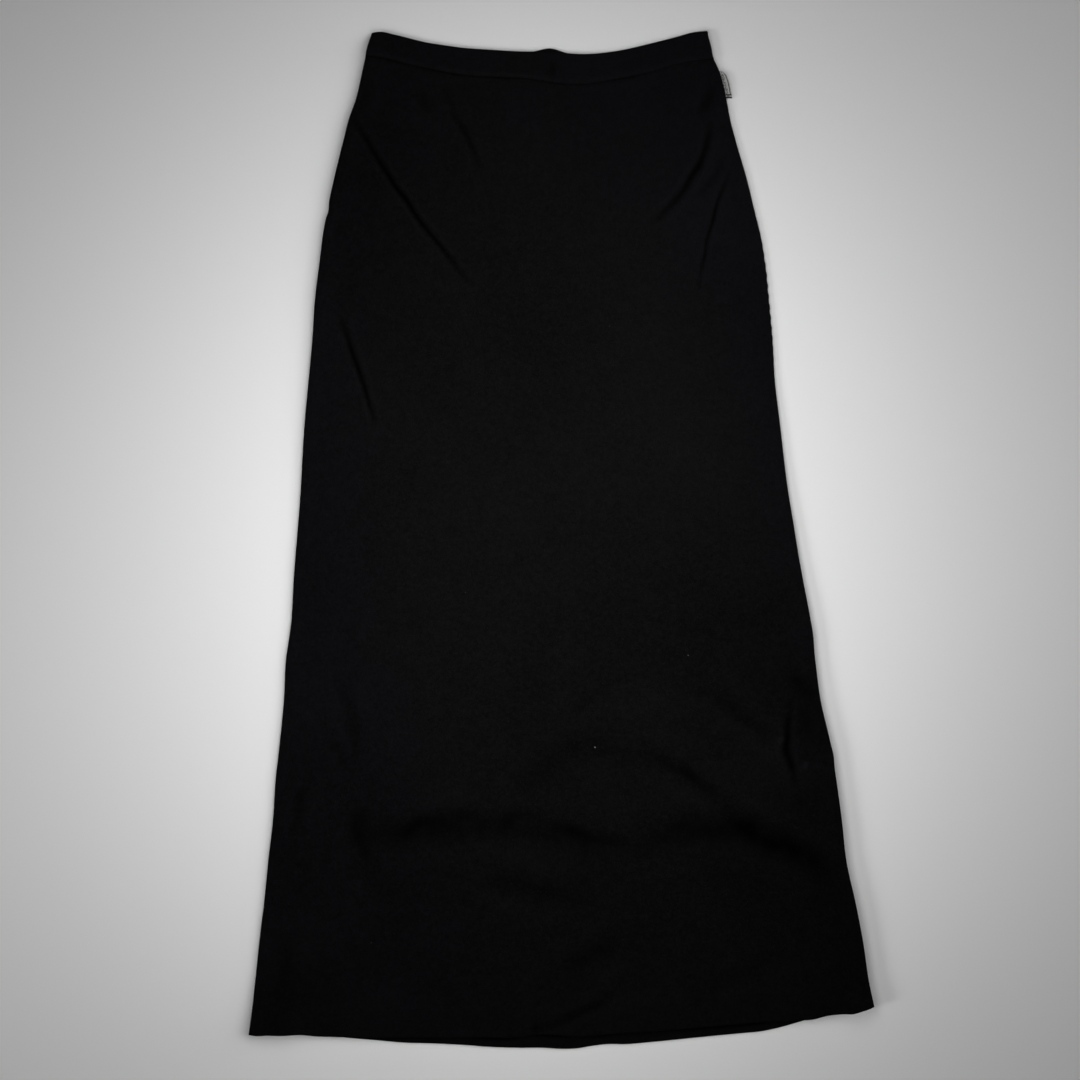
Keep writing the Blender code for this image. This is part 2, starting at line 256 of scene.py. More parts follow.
# The outer edge curls up in a long wave: its height, and the share of a half turn at its start and
# over its run.
LABEL_CURL = 0.9
CURL_START = 0.2
CURL_RUN = 0.9

# Light nap caught on the cloth: small pale specks, and the rubbed places near the right seam.
SPECKS = table(
    Spot,
    (33.5, -206.9, 1.1, 1.0), (126.5, -114.9, 0.9, 0.45), (-96, -52, 0.7, 0.2), (48, 214, 0.7, 0.2),
    (-190, -402, 0.8, 0.22),
)
RUBS = table(
    Spot,
    (219, -199, 7, 0.8), (211, -212, 15, 0.25), (235, -201, 4.5, 0.6), (244, -225, 5.5, 1.2),
    (226.5, -170, 4, 0.5),
)

# Broad places where the black is painted paler than elsewhere, as light falling there, and where it is
# painted deeper, as shade.
PAINTED_LIGHT_SPOTS = table(
    Spot,
    (120, 320, 240, 0.26), (0, 490, 210, 0.11), (-90, 520, 170, 0.17), (110, 530, 170, 0.18),
    (-40, 385, 70, 0.10), (170, 340, 110, 0.15), (80, 490, 110, 0.07), (140, 100, 190, 0.24),
    (-200, 130, 100, 0.07), (-20, 40, 190, 0.04),
)
PAINTED_SHADE_SPOTS = table(
    Spot,
    (300, -330, 200, 0.26), (190, -330, 140, 0.16), (150, -170, 80, 0.08), (254, -190, 45, 0.14),
    (-255, -45, 60, 0.08), (290, -470, 70, 0.20), (0, -310, 280, 0.25), (-20, 200, 90, 0.08),
    (-210, -290, 150, 0.24), (-150, -420, 100, 0.08), (-270, -480, 110, 0.26),
    (-230, 330, 120, 0.12), (-200, 400, 90, 0.12), (180, -100, 110, 0.14), (250, -165, 85, 0.24),
    (80, -40, 150, 0.12),
)
# Painted side light: the black is neutral in a leaning oval in the middle and cooler beyond its soft
# edge.
NEUTRAL_X = 10.0
NEUTRAL_Y = -60.0
NEUTRAL_LEAN = 0.16
NEUTRAL_ACROSS = 175.0
NEUTRAL_ALONG = 430.0
NEUTRAL_FADE = 70.0
NEUTRAL_WANDER = 130.0

# The knit's patterns, with their sizes in millimetres.
GRAIN_SIZE = 1.5
ROWS = Pattern(0.85, 2.0, down=0.45)
MOTTLE = Pattern(3.4, 2.0, 0.6)
WISPS = Pattern(8.0, 3.0, 0.6, across=0.7)
CLOUDS = Pattern(62.0, 3.0)
LINT = Pattern(0.9, 0.0)
# How much each of them pales or darkens the black, and the sum from which it starts to pale.
CLOUDS_PALE = 0.35
# Painted side light pales the black outside the neutral oval.
OUTER_LIGHT_PALES = 0.1
WISPS_PALE = 0.45
MOTTLE_PALES = 0.94
GRAIN_DARKENS = 0.36
# Painted light on raised places: the crease shoulders, the swells and the band's ridge.
PAINTED_LIGHT_PALES = 0.7
PALE_FROM = 0.375
# Painted shade in the creases, along the waist seam, in the band's pinch and on the back panel.
PAINTED_SHADE_DARKENS = 0.95
# How far the rubbed places follow the mottle, and where the noise is high enough to leave lint.
RUB_CONTRAST = 1.8
RUB_START = 0.2
LINT_FROM = 0.83
LINT_SOFTNESS = 0.02
LINT_PALES = 0.06
# The pebbled face's height, as the share that each pattern has in it.
GRAIN_HEIGHT = 0.7
ROWS_HEIGHT = 0.5
MOTTLE_HEIGHT = 0.5
# Where a spot is at half its strength, as a share of its reach.
SPOT_MIDDLE = 0.5
SPECK_MIDDLE = 0.6

# The satin's patterns. Its dark threads show most on the part next to the seam.
WEAVE = Pattern(0.16, 1.0, across=0.25)
THREADS = Pattern(1.1, 2.0, down=0.55)
THREADS_FROM = 0.5
THREADS_SOFTNESS = 0.12
THREADS_DARKEN = 0.6
GROUND_DARKENS = 0.2
SEAM_PART = 0.24
SEAM_PART_SOFTNESS = 0.09
SEAM_PART_DARKENS = 1.05
EDGE_PART_DARKENS = 0.35
# The satin's border lines, as shares across the label and down it.
EDGE_LINE = (0.352, 0.414)
UPPER_LINE = (0.85, 0.9)
LOWER_LINE = (0.94, 0.993)
LINE_SOFTNESS = 0.006

FLOOR_CLOUDS = Pattern(260.0, 2.0)
FLOOR_CLOUDS_PALE = 0.6
FLOOR_PALER = 1.03
FLOOR_STEPS = 8

# How the meshes are stepped, as shares across and down, each run with its count of steps. The inner
# face has one step for several of the outer one's, and the whole counts are multiples of that number.
FRONT_COLUMNS = table(
    Steps,
    (0.003, 6), (0.012, 6), (0.06, 12), (0.38, 120), (0.74, 36), (0.97, 84), (0.988, 6), (0.997, 6),
    (1.0, 6),
)
FRONT_ROWS = table(
    Steps,
    (0.004, 4), (0.25, 144), (0.40, 44), (0.62, 28), (0.88, 70), (0.96, 10), (0.972, 8),
    (0.995, 10), (1.0, 12),
)
BACK_COLUMNS = table(Steps, (0.003, 6), (0.012, 6), (0.988, 132), (0.997, 6), (1.0, 6))
BACK_ROWS = table(Steps, (0.004, 4), (0.96, 188), (0.972, 8), (0.995, 10), (1.0, 12))
BAND_COLUMNS = table(Steps, (0.004, 6), (0.016, 6), (0.984, 228), (0.996, 6), (1.0, 6))
BAND_ROWS = table(Steps, (0.03, 4), (0.12, 4), (0.9, 16), (0.97, 4), (1.0, 4))
LABEL_COLUMNS = table(Steps, (LABEL_TURNS, 10), (LABEL_TURNED, 12), (1.0, 10))
LABEL_ROWS = table(Steps, (1.0, 44))
FRONT_INNER_STEP = 6
BACK_INNER_STEP = 2
BAND_INNER_STEP = 2
LABEL_INNER_STEP = 1
# Half the side of the square grids that the walls are made from.
HALF = 0.5
# Edges that turn more than this are shaded sharp.
SHARP = math.radians(50)
# Brings the noise, which seldom passes 0.6, to about -1 to 1.
NOISE_GAIN = 1.6

# Lamps in metres and watts: a long one close overhead, a narrow one high above it, and a softbox
# further off at the lower left. The last two are cones, in degrees.
LONG_LAMP = Lamp("long_lamp", -0.03, 0.0, 0.45, 0.4, 1.93)
LONG_LAMP_LENGTH = 0.9
HIGH_LAMP = Lamp("high_lamp", -0.03, 0.0, 2.2, 0.6, 34.0)
HIGH_CONE = 34.0
SOFTBOX = Lamp("left_softbox", -3.0, -0.9, 1.5, 1.2, 268.0)
SOFTBOX_CONE = 30.0
# Low broad daylight from the right: the way round and up to it and its spread, in degrees. It is
# parallel, so how far off it is put makes no difference.
WINDOW_ROUND = 14.0
WINDOW_UP = 24.0
WINDOW_SPREAD = 40.0
WINDOW_STRENGTH = 1.56
WINDOW_OFF = 3.0
WORLD_COLOUR = (0.86, 0.865, 0.87, 1.0)
WORLD_STRENGTH = 0.01
SENSOR = 36.0
# The middle of the view, and the height at which its width is measured, in millimetres.
VIEW_X = -21.5
VIEW_Y = 0.3
VIEW_Z = 3.5


def length(name, description, millimetres):
    return bpy.props.FloatProperty(
        name=name, description=description, default=millimetres * MM, min=0.0, precision=4,
        subtype="DISTANCE", unit="LENGTH",
    )


def colour(name, description, red, green, blue):
    return bpy.props.FloatVectorProperty(
        name=name, description=description, default=(red, green, blue, 1.0), size=4, min=0.0, max=1.0,
        subtype="COLOR",
    )


class SkirtSizes(bpy.types.PropertyGroup):
    """Sizes of the cloth and of the stage."""

    panel_cloth: length("Panel Cloth", "Thickness of the front's and back's cloth", 1.2)
    hem_cloth: length("Hem Cloth", "Thickness of the turned-up hem", 2.0)
    hem_depth: length("Hem Depth", "How far the hem is turned up", 30.0)
    band_cloth: length("Band Cloth", "Thickness of each half of the waistband", 2.2)
    seam_gap: length("Seam Gap", "Space between pieces where they are sewn", 0.15)
    rim_reach: length("Rim Reach", "How far in from an edge the cloth rounds over", 2.6)
    puff: length("Puff", "How far the front stands off the back in the open", 2.2)
    pucker: length("Pucker", "Height of the small waves along the side seams", 0.35)
    corner_rise: length("Corner Rise", "How far the waist's corners curl off the surface", 0.4)
    crease_depth: bpy.props.FloatProperty(
        name="Crease Depth", description="Share of the creases' full depth",
        default=1.0, min=0.0, max=2.0, subtype="FACTOR",
    )
    floor_width: length("Floor Width", "Side of the square floor", 9000.0)
    camera_height: length("Camera Height", "How far the camera is above the floor", 1900.0)
    view_width: length("View Width", "Width of the floor that the camera sees", 1080.0)


class SkirtColours(bpy.types.PropertyGroup):
    """Colours of the cloth, the label and the stage."""

    cloth: colour("Cloth", "The skirt's black", 0.0019, 0.0019, 0.0019)
    # The pale end of the black: real rubbing and wear, and painted light on raised and broad lit
    # places.
    cloth_worn_and_lit: colour("Worn Cloth", "The black where it is rubbed or raised", 0.0058, 0.0058, 0.0058)
    # Painted shade in the creases, along the waist seam, in the band's pinch and below the front's hem.
    painted_shade_black: colour("Painted Shade", "The black deep in the creases", 0.0003, 0.0003, 0.0003)
    # Painted cool light, which the black takes on at the sides and the waist.
    painted_cool_light: colour("Cool Tint", "What the black takes on at the sides and the waist", 0.83, 0.83, 1.0)
    nap: colour("Nap", "Specks of pale lint", 0.12, 0.12, 0.12)
    label: colour("Label", "The satin of the side label", 0.43, 0.43, 0.42)
    label_dark: colour("Dark Label", "The darker threads of the label's weave", 0.07, 0.07, 0.065)
    label_line: colour("Label Line", "The label's woven border lines", 0.010, 0.010, 0.010)
    floor: colour("Floor", "The floor", 0.80, 0.805, 0.80)


def curve(places, values, at):
    """The value at each place of a smooth curve through the rows, in rising order of place."""
    places, values = np.array(places, float), np.array(values, float)
    slopes = np.gradient(values, places)
    row = np.clip(np.searchsorted(places, at, side="right") - 1, 0, len(places) - 2)
    span = places[row + 1] - places[row]
    t = np.clip((at - places[row]) / span, 0.0, 1.0)
    start = (1 + 2 * t) * values[row] + t * span * slopes[row]
    end = (3 - 2 * t) * values[row + 1] + (t - 1) * span * slopes[row + 1]
    return (1 - t) ** 2 * start + t**2 * end


def bump(distance, reach):
    """1 where the distance is 0, falling off smoothly to either side."""
    return np.exp(-((distance / reach) ** 2))


def mix(first, second, share):
    """The first value at share 0, the second at share 1, and between them in between."""
    return first + (second - first) * share


def smooth(share):
    """A share from 0 to 1, eased at both ends."""
    share = np.clip(share, 0.0, 1.0)
    return share * share * (3 - 2 * share)


def eased(distance, middle, span):
    """0 before the middle and 1 after it, eased over the span round it."""
    return smooth((distance - middle) / span + 0.5)


def uneven(x, y, patches):
    """Smooth chance unevenness in patches, up to about their height either way."""
    places = zip(x / patches.size, y / patches.size)
    found = np.array([noise.noise(Vector((a, b, patches.seed))) for a, b in places])
    return patches.height * (found * NOISE_GAIN)


def side_x(side, y):
    """Where the left or right side seam is at each height y."""
    rows = sorted(SIDES)
    x = curve([row.y for row in rows], [getattr(row, side) for row in rows], y)
    outward = -1.0 if side == "left" else 1.0
    for nudge in NUDGES:
        if nudge.side == side:
            x = x + outward * nudge.out * bump(y - nudge.y, nudge.reach)
    if side == "right":
        wave = np.sin(2 * np.pi * y / SEAM_WAVE_PITCH) * bump(y - SEAM_WAVE_Y, SEAM_WAVE_REACH)
        x = x + SEAM_WAVE_OUT * wave
    return x


def line_y(line, x):
    """Where a line across the skirt is at each x."""
    return curve([point.x for point in line], [point.y for point in line], x)


def bend(line, u):
    """How far a line leaves the straight way between its ends, at shares across it."""
    x = mix(side_x("left", line[0].y), side_x("right", line[-1].y), u)
    return line_y(line, x) - mix(line[0].y, line[-1].y, u)


def plan(top, bottom, u, v):
    """Places in plan at shares u across and v down a piece, held to the side seams and to two lines."""
    left_y, right_y = mix(top[0].y, bottom[0].y, v), mix(top[-1].y, bottom[-1].y, v)
    x = mix(side_x("left", left_y), side_x("right", right_y), u)
    y = mix(left_y, right_y, u) + mix(bend(top, u), bend(bottom, u), v)
    return x, y


def moved(line, down):
    """The same line, a little further down the skirt."""
    return tuple(Point(point.x, point.y - down) for point in line)


def from_sides(x, y):
    """How far each place is inside the nearer side seam."""
    return np.maximum(np.minimum(x - side_x("left", y), side_x("right", y) - x), 0.0)


def fold_track(fold, x, y):
    """How far each place is from a crease's line, and how strong the crease is there."""
    start = np.array([fold.start_x, fold.start_y], float)
    end = np.array([fold.end_x, fold.end_y], float)
    pull = 2 * np.array([fold.middle_x, fold.middle_y], float) - (start + end) / 2
    share = np.linspace(0.0, 1.0, FOLD_STEPS + 1)[:, None]
    points = (1 - share) ** 2 * start + 2 * share * (1 - share) * pull + share**2 * end
    nearest, along = np.full(np.shape(x), np.inf), np.zeros(np.shape(x))
    for step, (here, there) in enumerate(zip(points[:-1], points[1:])):
        run = there - here
        part = np.clip(((x - here[0]) * run[0] + (y - here[1]) * run[1]) / (run @ run), 0.0, 1.0)
        gap = np.hypot(x - here[0] - part * run[0], y - here[1] - part * run[1])
        closer = gap < nearest
        nearest = np.where(closer, gap, nearest)
        along = np.where(closer, (step + part) / FOLD_STEPS, along)
    return nearest, mix(END_SHARE, 1.0, np.sin(np.pi * along) ** END_FULLNESS)


def creased(folds, x, y):
    """What the creases add: the height of troughs with raised shoulders, above and underneath.

    The relief, given last, paints shade down to -1 deep in a trough, and light above 0 on a shoulder.
    """
    height, under, relief = 0 * x, 0 * x, 0 * x
    for fold in folds:
        nearest, strength = fold_track(fold, x, y)
        depth = fold.depth * strength
        shoulder = SHOULDER_SHARE * bump(nearest - SHOULDER_AT * fold.reach, fold.reach)
        painted_shade = bump(nearest, SHADE_LINE_SHARE * fold.reach)
        height = height + depth * (shoulder - bump(nearest, fold.reach))
        under = under - depth * bump(np.maximum(nearest - UNDER_REACH, 0.0), fold.reach)
        # Painted shade deep in the trough, and painted light on the shoulders.
        relief = relief + depth * (shoulder / 2 - painted_shade) / FULL_SHADE_DEPTH
    return height, under, relief


class Form:
    """How the skirt lies: the place and the two faces of each piece at shares across and down it."""

    # The turned-in allowance, inside the side seams.
    ALLOWANCE_AT = 6.0
    ALLOWANCE_REACH = 4.5
    ALLOWANCE_RISE = 0.5
    # The open cloth between the seams, and below the waist seam.
    PUFF_REACH = 26.0
    SEAM_PUFF = 1.3
    SEAM_REACH = 40.0
    ROLLS = (Patches(0.34, 60.0, 1.9), Patches(0.10, 19.0, 5.3))
    # The turned-up hems, and the back hem's strip that shows: painted shade just below the front's hem
    # and over the strip.
    HEM_STEP = 22.0
    HEM_CLEAR = 4.0
    HEM_SLOPE = 30.0
    HEM_SHADE = 0.9
    HEM_SHADE_DOWN = 0.5
    HEM_SHADE_REACH = 1.4
    STRIP_SHADE = 0.16
    # The waist seam's sunk line, painted in shade, which fades towards the right.
    SEAM_DIP = 0.45
    SEAM_DIP_REACH = 1.8
    SEAM_SHADE = 0.5
    SEAM_LINE_REACH = 0.8
    SEAM_FADES_AT = 95.0
    SEAM_FADES_OVER = 60.0
    SEAM_FADED = 0.25
    SEAM_PLAIN = 0.8
    SEAM_PATCHES = Patches(0.35, 28.0, 6.6)
    # The share of its full thickness that a wall keeps at a free edge, and where less is rounded off:
    # at the back's hem, at the top of the band's back half, and at the waist seam.
    RIM_SHARE = 0.35
    HEM_RIM = 0.75
    TOP_RIM = 0.8
    SEAM_RIM = 0.55
    # How far in the lift of the waist's corners and of the side seams reaches.
    CORNER_REACH = 85.0
    EDGE_REACH = 26.0
    # The waistband: rounded corners, a pinch at the middle, a ridge along the seam, and its crown.
    BAND_CORNER = 2.4
    PINCH_X = -9.0
    PINCH_REACH = 3.6
    PINCH_DOWN = 0.55
    PINCH_RUN = 0.3
    PINCH_DEPTH = 0.8
    # Painted shade in the pinch.
    PINCH_SHADE = 0.45
    RIDGE_UP = 3.4
    RIDGE_REACH = 2.4
    RIDGE_RISE = 0.5
    # Painted light on the ridge.
    RIDGE_PAINTED_LIGHT = 0.55
    RIDGE_FULL = 0.7
    RIDGE_PATCHES = Patches(0.3, 30.0, 9.2)
    CROWN = 0.22
    CROWN_ROLLS = (Patches(0.14, 22.0, 4.4), Patches(0.05, 8.0, 6.1))
    # The small waves along the side seams, and how much stronger they are at the right hip.
    PUCKER_AT = 3.0
    PUCKER_REACH = 9.0
    PUCKER_SHARE = 0.45
    PUCKER_AT_HIP = 0.9
    PUCKER_DRIFT = Patches(1.4, 27.0, 2.2)
    # How the creases wander and change in depth, more so where the lower part is rumpled.
    WANDER = 0.9
    PATCHY_WANDER = 2.6
    WANDER_ACROSS = Patches(1.0, 22.0, 3.1)
    WANDER_ALONG = Patches(1.0, 22.0, 7.7)
    RUMPLED_BELOW = -60.0
    RUMPLED_OVER = 60.0
    CREASE_PATCHES = Patches(0.15, 26.0, 11.3)
    RUMPLE_PATCHES = Patches(0.3, 12.0, 8.8)
    CREASE_CLEAR = 8.0
    # Painted light on the broad swells.
    SWELL_PAINTED_LIGHT = 0.08

    def __init__(self, sizes):
        for name in (
            "panel_cloth", "hem_cloth", "hem_depth", "band_cloth",
            "seam_gap", "rim_reach", "puff", "pucker", "corner_rise",
        ):
            setattr(self, name, getattr(sizes, name) / MM)
        self.crease_depth = sizes.crease_depth

    def rim(self, distance):
        """The share of its full thickness that a wall has this far in from a rounded edge."""
        inward = 1.0 - np.clip(distance / self.rim_reach, 0.0, 1.0)
        return mix(self.RIM_SHARE, 1.0, np.sqrt(1.0 - inward**2))

    def hem_thickness(self, distance):
        """A panel's thickness this far above its hem line."""
        return mix(self.hem_cloth, self.panel_cloth, eased(distance, self.hem_depth, self.HEM_STEP))

    def over_back(self, x, y):
        """The height that clears the back panel, its turned-up hem as well."""
        above = y - line_y(BACK_HEM, x) - self.hem_depth - self.HEM_CLEAR
        return mix(self.hem_cloth, self.panel_cloth, smooth(above / self.HEM_SLOPE)) + self.seam_gap

    def corner(self, x, y):
        """How far the waist's corners, the side seams and the hem's ends are off the surface."""
        left, right = (np.hypot(x - end.x, y - end.y) for end in (WAIST[0], WAIST[-1]))
        rise = self.corner_rise * smooth(1 - np.minimum(left, right) / self.CORNER_REACH)
        rows = sorted(EDGE_LIFTS)
        for side, inward in (("left", x - side_x("left", y)), ("right", side_x("right", y) - x)):
            lift = curve([row.y for row in rows], [getattr(row, side) for row in rows], y)
            rise = rise + lift * smooth(1 - np.maximum(inward, 0.0) / self.EDGE_REACH)
        for swell in HEM_LIFTS:
            along = swell.height * bump(x - swell.x, swell.reach_x)
            rise = rise + along * smooth(1 - (y - swell.y) / swell.reach_y)
        return rise

    def lift(self, x, y):
        """How far the front's two faces stand off the back's clearance, and its creases' relief."""
        inward = from_sides(x, y)
        below_seam = line_y(BAND_SEAM, x) - y
        open_cloth = smooth(inward / self.PUFF_REACH)
        height = mix(self.SEAM_PUFF, self.puff, smooth(below_seam / self.SEAM_REACH)) * open_cloth
        height = height + self.ALLOWANCE_RISE * bump(inward - self.ALLOWANCE_AT, self.ALLOWANCE_REACH)
        full = 0 * x
        for swell in SWELLS:
            reach = np.hypot((x - swell.x) / swell.reach_x, (y - swell.y) / swell.reach_y)
            full = full + swell.height * bump(reach, 1.0)
        height = height + full * open_cloth
        rumpled = smooth((self.RUMPLED_BELOW - y) / self.RUMPLED_OVER)
        wander = mix(self.WANDER, self.PATCHY_WANDER, rumpled)
        wandered_x = x + wander * uneven(x, y, self.WANDER_ACROSS)
        wandered_y = y + wander * uneven(x, y, self.WANDER_ALONG)
        varied = uneven(x, y, self.CREASE_PATCHES) + rumpled * uneven(x, y, self.RUMPLE_PATCHES)
        share = self.crease_depth * (1 + varied) * smooth(inward / self.CREASE_CLEAR)
        creases, under, relief = creased(FOLDS, wandered_x, wandered_y)
        for patches in self.ROLLS:
            height = height + uneven(x, y, patches) * open_cloth
        height = height + self.seam_waves(x, y, inward)
        outside = np.maximum(height + share * creases, 0.0)
        # The relief paints shade in the creases, and light on their shoulders and on the swells.
        relief = share * relief + self.SWELL_PAINTED_LIGHT * full
        return outside, np.clip(height + share * under, 0.0, outside), relief

    def seam_strength(self, x):
        """How plain the waist seam's line is: uneven, and softer towards the right."""
        fade = mix(1.0, self.SEAM_FADED, eased(x, self.SEAM_FADES_AT, self.SEAM_FADES_OVER))
        return fade * (self.SEAM_PLAIN + uneven(x, 0 * x, self.SEAM_PATCHES))

    def seam_waves(self, x, y, inward):
        """The small puckers that sewing leaves along the side seams, strongest at the right hip."""
        at_hip = bump(y - SEAM_WAVE_Y, SEAM_WAVE_REACH) * (x > 0)
        strength = self.PUCKER_SHARE + self.PUCKER_AT_HIP * at_hip
        phase = 2 * np.pi * y / SEAM_WAVE_PITCH + uneven(y, 0 * x, self.PUCKER_DRIFT)
        return self.pucker * strength * np.sin(phase) * bump(inward - self.PUCKER_AT, self.PUCKER_REACH)

    def front_panel(self, u, v):
        """The upper panel, standing off the back by its folds."""
        x, y = plan(moved(BAND_SEAM, self.seam_gap / 2), FRONT_HEM, u, v)
        above_hem = y - line_y(FRONT_HEM, x)
        below_seam = line_y(BAND_SEAM, x) - y
        edge = np.minimum(self.rim(from_sides(x, y)), self.rim(above_hem))
        lift, under, relief = self.lift(x, y)
        below = self.over_back(x, y) + self.corner(x, y)
        dip = bump(below_seam, self.SEAM_DIP_REACH) * self.seam_strength(x)
        outside = below + lift + self.hem_thickness(above_hem) * edge - self.SEAM_DIP * dip
        # The seam's dip is painted in shade as well.
        return Faces(x, y, outside, below + under, relief - self.SEAM_SHADE * dip)

    def back_panel(self, u, v):
        """The lower panel: flat underneath but for its creases, its sides turned up to the seams."""
        x, y = plan(moved(BAND_SEAM, self.seam_gap / 2), BACK_HEM, u, v)
        above_hem = y - line_y(BACK_HEM, x)
        edge = np.minimum(self.rim(from_sides(x, y)), self.rim(above_hem))
        creases, _, relief = creased(BACK_FOLDS, x, y)
        under = self.panel_cloth * (1 - edge) + np.clip(-creases, 0.0, self.panel_cloth / 2)
        top = self.hem_thickness(above_hem) * mix(self.HEM_RIM, 1.0, self.rim(above_hem))
        rise = self.corner(x, y)
        # Painted shade just below the front's hem, and a little over the whole back panel.
        shade = bump(y - line_y(FRONT_HEM, x) + self.HEM_SHADE_DOWN, self.HEM_SHADE_REACH)
        return Faces(x, y, rise + under, rise + top, relief - self.HEM_SHADE * shade - self.STRIP_SHADE)

    def band_plan(self, u, v):
        """Places in plan on one half of the waistband, and each one's share of its thickness."""
        x, y = plan(WAIST, moved(BAND_SEAM, -self.seam_gap / 2), u, v)
        below_top = line_y(WAIST, x) - y
        into_corner = 1 - np.clip(below_top / self.BAND_CORNER, 0.0, 1.0)
        x = x + self.BAND_CORNER * (1 - np.sqrt(1 - into_corner**2)) * (1 - 2 * u)
        above_seam = y - line_y(BAND_SEAM, x)
        edge = np.minimum(self.rim(from_sides(x, y)), self.rim(below_top))
        return x, y, np.minimum(edge, mix(self.SEAM_RIM, 1.0, self.rim(above_seam)))

    def waistband_back(self, u, v):
        """The back half of the waistband, flat underneath, its top edge peeping over in one place."""
        x, y, edge = self.band_plan(u, v)
        y = y + (PEEP_RISE * bump(x - PEEP_X, PEEP_REACH) - BACK_BAND_DROP) * (1 - v)
        rise = self.corner(x, y)
        under, top = self.band_cloth * (1 - edge), self.band_cloth * mix(self.TOP_RIM, 1.0, edge)
        return Faces(x, y, rise + under, rise + top, 0 * x)

    def waistband_front(self, u, v):
        """The front half of the waistband, on the back half, with a small pinch at the middle."""
        x, y, edge = self.band_plan(u, v)
        above_seam = y - line_y(BAND_SEAM, x)
        below = self.corner(x, y) + self.band_cloth + self.seam_gap
        pinch = bump(x - self.PINCH_X, self.PINCH_REACH) * bump(v - self.PINCH_DOWN, self.PINCH_RUN)
        ridge = bump(above_seam - self.RIDGE_UP, self.RIDGE_REACH)
        ridge = ridge * (self.RIDGE_FULL + uneven(x, y, self.RIDGE_PATCHES))
        crown = self.CROWN * np.sin(np.pi * v)
        for patches in self.CROWN_ROLLS:
            crown = crown + uneven(x, y, patches)
        raised = crown + self.RIDGE_RISE * ridge
        outside = below + self.band_cloth * edge + raised * edge - self.PINCH_DEPTH * pinch
        # Painted shade along the seam line and in the pinch, and painted light on the ridge.
        line = bump(above_seam, self.SEAM_LINE_REACH) * self.seam_strength(x)
        relief = self.RIDGE_PAINTED_LIGHT * ridge - self.PINCH_SHADE * pinch - self.SEAM_SHADE * line
        return Faces(x, y, outside, below, relief)

    def side_label(self, u, v):
        """The flag label: a ribbon folded double, its fold outwards and its ends in the side seam."""
        y = mix(LABEL_EDGE[-1].y, LABEL_EDGE[0].y, v)
        outer = curve([point.y for point in LABEL_EDGE], [point.x for point in LABEL_EDGE], y)
        inner = side_x("right", y) + LABEL_GAP
        turn = np.clip((u - LABEL_TURNS) / (LABEL_TURNED - LABEL_TURNS), 0.0, 1.0) * np.pi
        reach = np.clip(np.minimum(u, 1 - u) / LABEL_TURNS, 0.0, 1.0)
        fold_x = outer - LABEL_FOLD - LABEL_PLY / 2
        x = mix(inner, fold_x, reach) + LABEL_FOLD * np.sin(turn)
        z = LABEL_MIDDLE + LABEL_FOLD * np.cos(turn) + self.corner(x, y)
        curl = LABEL_CURL * smooth((x - inner) / (outer - inner))
        z = z + curl * np.sin(np.pi * (CURL_START + CURL_RUN * v))
        off_x, off_z = LABEL_PLY / 2 * np.sin(turn), LABEL_PLY / 2 * np.cos(turn)
        return Faces(x + off_x, y, z + off_z, z - off_z, 0 * x, x - off_x)


def shares(runs):
    """The shares from 0 to 1 that the runs of steps give."""
    found, start = [0.0], 0.0
    for run in runs:
        found += list(np.linspace(start, run.stop, run.count + 1))[1:]
        start = run.stop
    return np.array(found)


def wall(name, columns, rows, shape, inner_step, cloth):
    """A closed wall of cloth: a fine outer face, an inner face that is coarser, and the rim between.

    Both faces start as square grids, the outer one above the inner, and a vertex's place on its grid
    says which column and row of the shape it takes.
    """
    columns, rows = shares(columns), shares(rows)
    across, down = len(columns) - 1, len(rows) - 1
    bm = bmesh.new()
    inner_across, inner_down = across // inner_step, down // inner_step
    inner = bmesh.ops.create_grid(bm, x_segments=inner_across, y_segments=inner_down, size=HALF)
    border = {edge for vertex in inner["verts"] for edge in vertex.link_edges if edge.is_boundary}
    if inner_step > 1:
        bmesh.ops.subdivide_edges(bm, edges=list(border), cuts=inner_step - 1)
    outer = bmesh.ops.create_grid(bm, x_segments=across, y_segments=down, size=HALF)
    bmesh.ops.translate(bm, verts=outer["verts"], vec=(0.0, 0.0, 1.0))
    bmesh.ops.bridge_loops(bm, edges=[edge for edge in bm.edges if edge.is_boundary])
    steps = np.array([vertex.co for vertex in bm.verts])
    column = np.rint((steps[:, 0] + HALF) * across).astype(int)
    row = np.rint((HALF - steps[:, 1]) * down).astype(int)
    on_outer = steps[:, 2] > HALF
    u, v = columns[column], rows[row]
    faces = shape(u, v)
    x = faces.x if faces.inside_x is None else np.where(on_outer, faces.x, faces.inside_x)
    z = np.where(on_outer, faces.outside, faces.inside)
    relief = bm.verts.layers.float.new("relief")
    for vertex, place, height in zip(bm.verts, np.column_stack((x, faces.y, z)) * MM, faces.relief):
        vertex.co = place
        vertex[relief] = height
    cut = bm.loops.layers.uv.new("cut")
    for face in bm.faces:
        for loop in face.loops:
            loop[cut].uv = (u[loop.vert.index], v[loop.vert.index])
    bmesh.ops.recalc_face_normals(bm, faces=bm.faces[:])
    mesh = bpy.data.meshes.new(name)
    bm.to_mesh(mesh)
    bm.free()
    mesh.shade_smooth()
    mesh.set_sharp_from_angle(angle=SHARP)
    mesh.materials.append(cloth)
    piece = bpy.data.objects.new(name, mesh)
    bpy.context.scene.collection.objects.link(piece)
    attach(piece, "root")
    return piece


